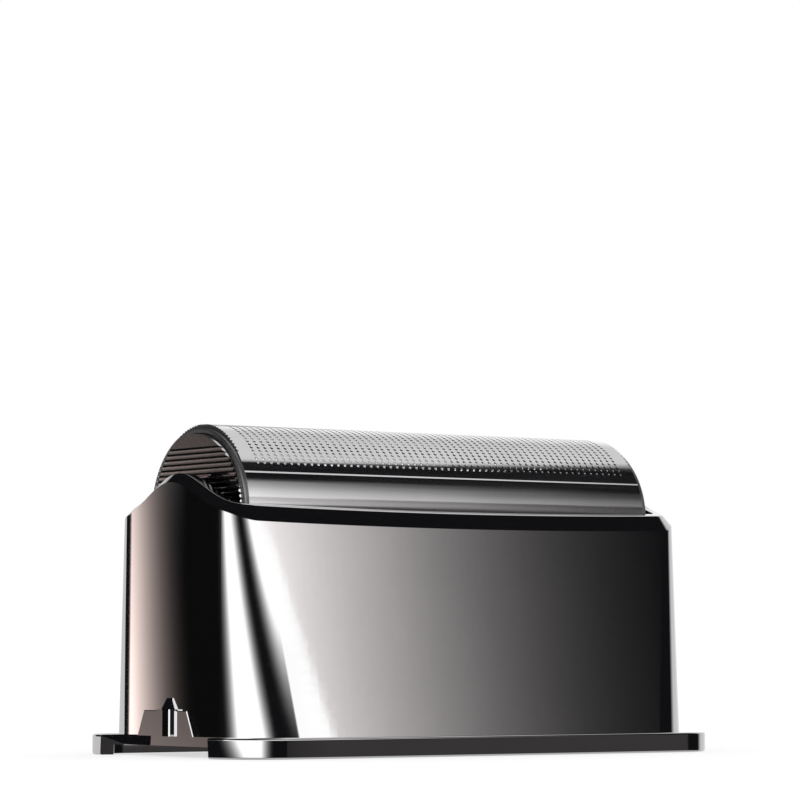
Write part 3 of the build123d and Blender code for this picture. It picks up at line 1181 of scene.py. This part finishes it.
@dataclass(frozen=True)
class StudioSurround:
    """The studio that the plating mirrors: dark, with pale panels, and white behind the head."""

    camera_bearing: float
    dark: Colour = (0.006, 0.006, 0.007)
    panels: tuple[Panel, ...] = (
        # Cards to the right, for the flange's front, the front wall and the foil's plain side.
        Panel((64, 67), (77.5, 82), (-30, -20), (4, 9), (0.045, 0.042, 0.042)),
        Panel((60, 70), (70, 78.5), (6, 9), (16, 18), (0.08, 0.077, 0.078)),
        Panel((63, 66.8), (66.3, 78.2), (6, 9), (15.2, 16.5), (1.18, 1.125, 1.13), falloff=3.0),
        Panel((-80, -70), (68, 83), (15.0, 16.0), (33, 37), (1.2, 1.18, 1.19), falloff=2.5),
        # A slanted strip and a low card, for the two streaks of the left corner.
        Panel((-80, -70), (72.3, 72.5), (8.3, 10.75), (24, 30), (1.25, 1.25, 1.25), right_lean=0.37,
              tilt=-0.04, falloff=2.87),
        Panel((60.5, 67.45), (72.3, 72.5), (8, 9.5), (24, 30), (1.25, 1.25, 1.25), right_lean=0.37,
              falloff=3.0),
        Panel((-100, -48), (10, 38), (-9, -5), (5.4, 8.1), (1.25, 1.25, 1.25), left_lean=11.0, tilt=-0.02,
              falloff=3.0),
        # A black flag and a warm card, for the end wall, and a pale card for its far edge.
        Panel((-126, -109), (-101.5, -98.5), (-30, -20), (15, 20), (0.004, 0.004, 0.004)),
        Panel((-124.9, -124.2), (-124.0, -106.0), (-20, -15), (15, 25), (1.54, 1.26, 1.18), right_lean=1.0,
              falloff=2.85),
        Panel(OPEN_LEFT, (-129.2, -127.7), (-40, -30), (15, 30), (0.62, 0.62, 0.62), right_lean=1.2),
        # The pale room behind the head and over it, and the glow from below.
        Panel(OPEN_LEFT, (-160, -148), (45, 52), ZENITH, (0.28, 0.28, 0.28)),
        Panel((114, 127), OPEN_RIGHT, (-40, -30), ZENITH, (0.66, 0.66, 0.66)),
        Panel((92, 100), OPEN_RIGHT, (51.0, 52.2), ZENITH, (0.68, 0.68, 0.68)),
        Panel((140, 170), OPEN_RIGHT, (-40, -30), (22, 38), (1.0, 1.0, 1.0)),
        Panel(OPEN_LEFT, OPEN_RIGHT, (-91, -90), (-25, -12), (0.5, 0.5, 0.5)),
    )

    def panel_group(self) -> bpy.types.NodeTree:
        """Node group that tells how much of a panel a direction meets."""
        edges = ("Left", "Right", "Foot", "Top")
        names = ["Bearing", "Elevation", "Left Lean", "Right Lean", "Tilt"]
        names += [f"{edge} {end}" for edge in edges for end in ("Start", "End")]
        graph = group_tree("soft_panel", {**dict.fromkeys(names, 0.0), "Falloff": 1.0}, ("Mask",))
        given = graph.add("NodeGroupInput").outputs
        tilted = graph.math("MULTIPLY_ADD", given["Bearing"], given["Tilt"], given["Elevation"])
        mask = None
        for edge in edges:
            place = tilted
            if edge in ("Left", "Right"):
                lean = given[f"{edge} Lean"]
                place = graph.math("MULTIPLY_ADD", given["Elevation"], lean, given["Bearing"])
            ends = (0.0, 1.0) if edge in ("Left", "Foot") else (1.0, 0.0)
            share = graph.spread(place, given[f"{edge} Start"], given[f"{edge} End"], *ends)
            mask = share if mask is None else graph.math("MULTIPLY", mask, share)
        graph.add("NodeGroupOutput", {"Mask": graph.math("POWER", mask, given["Falloff"])})
        return graph.tree

    def build(self) -> None:
        """Make the world: panels for mirrored light, plain white for the camera and all other light."""
        world = bpy.data.worlds.new("studio")
        bpy.context.scene.world = world
        world.use_nodes = True
        graph = Graph(world.node_tree)
        way = graph.add("ShaderNodeTexCoord").outputs["Generated"]
        turned = graph.add("ShaderNodeVectorRotate", {"Vector": way, "Angle": -self.camera_bearing},
                           rotation_type="Z_AXIS")
        axes = graph.add("ShaderNodeSeparateXYZ", {0: turned.outputs[0]}).outputs
        bearing = graph.math("DEGREES", graph.math("ARCTAN2", axes[1], axes[0]))
        elevation = graph.math("DEGREES", graph.math("ARCSINE", axes[2]))
        group = self.panel_group()
        colour = (*self.dark, 1.0)
        for panel in self.panels:
            wires = {"Bearing": bearing, "Elevation": elevation, "Left Lean": panel.left_lean,
                     "Right Lean": panel.right_lean, "Tilt": panel.tilt, "Falloff": panel.falloff}
            for edge, ends in panel.edges().items():
                wires.update({f"{edge} Start": ends[0], f"{edge} End": ends[1]})
            mask = graph.add("ShaderNodeGroup", wires, node_tree=group).outputs["Mask"]
            colour = graph.blend(mask, colour, (*panel.colour, 1.0))
        path = graph.add("ShaderNodeLightPath").outputs
        mirrored = graph.add("ShaderNodeBackground", {"Color": colour}).outputs[0]
        white = graph.add("ShaderNodeBackground", {"Color": WHITE}).outputs[0]
        lit = graph.add("ShaderNodeMixShader", {0: path["Is Glossy Ray"], 1: white, 2: mirrored}).outputs[0]
        seen = graph.add("ShaderNodeMixShader", {0: path["Is Camera Ray"], 1: lit, 2: white}).outputs[0]
        graph.add("ShaderNodeOutputWorld", {"Surface": seen})
        LOG.info("studio: %d panels", len(self.panels))


@dataclass(frozen=True)
class StudioFloor:
    """Plain white floor that keeps a soft shadow and stays out of the plating's reflections."""

    half_side: float = 4.0
    drop: float = 0.02
    tone: float = 0.42
    glow: float = 0.62

    def build(self) -> bpy.types.Object:
        """Make the floor under the head."""
        side, z = self.half_side, CAD_BOX[0][2] - self.drop * MM
        mesh = bpy.data.meshes.new("floor")
        corners = [(-side, -side, z), (side, -side, z), (side, side, z), (-side, side, z)]
        mesh.from_pydata(corners, [], [(0, 1, 2, 3)])
        floor = bpy.data.objects.new("floor", mesh)
        material = bpy.data.materials.new("white_floor")
        material.use_nodes = True
        graph = Graph(material.node_tree)
        matt = graph.add("ShaderNodeBsdfDiffuse", {"Color": (self.tone, self.tone, self.tone, 1.0)})
        camera = graph.add("ShaderNodeLightPath").outputs["Is Camera Ray"]
        glow = graph.add("ShaderNodeEmission", {"Strength": graph.math("MULTIPLY", camera, self.glow)})
        both = graph.add("ShaderNodeAddShader", {0: matt.outputs[0], 1: glow.outputs[0]})
        graph.add("ShaderNodeOutputMaterial", {"Surface": both.outputs[0]})
        mesh.materials.append(material)
        bpy.context.scene.collection.objects.link(floor)
        floor.visible_glossy = False
        return floor


@dataclass(frozen=True)
class PhotoCamera:
    """The photograph's viewpoint."""

    place: tuple[float, float, float] = (-187.99, -266.57, 8.35)
    yaw: float = math.radians(35.138)
    pitch: float = math.radians(3.974)
    focal_pixels: float = 3700.0
    sensor: float = 36.0

    def bearing(self) -> float:
        """Angle from +X of the way from the head to the camera, in radians."""
        return math.pi / 2 - self.yaw - math.pi

    def build(self) -> bpy.types.Object:
        """Make the camera and use it."""
        data = bpy.data.cameras.new("photo_camera")
        data.sensor_width = self.sensor
        data.lens = self.focal_pixels * self.sensor / IMAGE_SIDE
        camera = bpy.data.objects.new("photo_camera", data)
        look = Vector((math.sin(self.yaw) * math.cos(self.pitch), math.cos(self.yaw) * math.cos(self.pitch),
                       math.sin(self.pitch)))
        right = Vector((math.cos(self.yaw), -math.sin(self.yaw), 0.0))
        up = right.cross(look)
        turn = Matrix((right, up, -look)).transposed().to_4x4()
        camera.matrix_world = Matrix.Translation(Vector(self.place) * MM) @ turn
        bpy.context.scene.collection.objects.link(camera)
        bpy.context.scene.camera = camera
        return camera


def main() -> None:
    """Build the head's pieces in order, then its studio."""
    logging.basicConfig(level=logging.INFO, format="%(name)s %(message)s")
    plating = Finish("dark_plating", (0.82, 0.815, 0.815), (0.79, 0.785, 0.785),
                     roughness=0.025, rough_spread=0.01, relief=0.0)
    steel = Finish("drawn_steel", (0.9, 0.9, 0.9), (0.84, 0.84, 0.845),
                   roughness=0.07, rough_spread=0.06, relief=0.004)
    cap = Finish("cap_chrome", (0.8, 0.79, 0.79), (0.76, 0.75, 0.75),
                 roughness=0.04, rough_spread=0.04, relief=0.002)
    collar = Finish("collar_satin", (0.32, 0.32, 0.325), (0.27, 0.27, 0.275),
                    roughness=0.38, rough_spread=0.08, relief=0.002)
    Housing(plating).build()
    Foil(steel).build()
    cap_materials = (cap.material(), collar.material())
    for side in Side:
        EndCap(*cap_materials, side).build()
    moulded = {"roughness": 0.45, "rough_spread": 0.2, "relief": 0.02, "texture": Texture.MOULDED,
               "relief_strength": 0.5, "metallic": 0.0}
    black = Finish("moulded_black", (0.03, 0.03, 0.033), (0.05, 0.05, 0.054), **moulded)
    grey = Finish("moulded_grey", (0.045, 0.045, 0.048), (0.07, 0.07, 0.075), **moulded)
    MouldedParts(black, grey).dress()
    camera = PhotoCamera()
    camera.build()
    StudioSurround(camera.bearing()).build()
    StudioFloor().build()
    bpy.context.scene.view_settings.view_transform = "Standard"


if __name__ == "__main__":
    main()
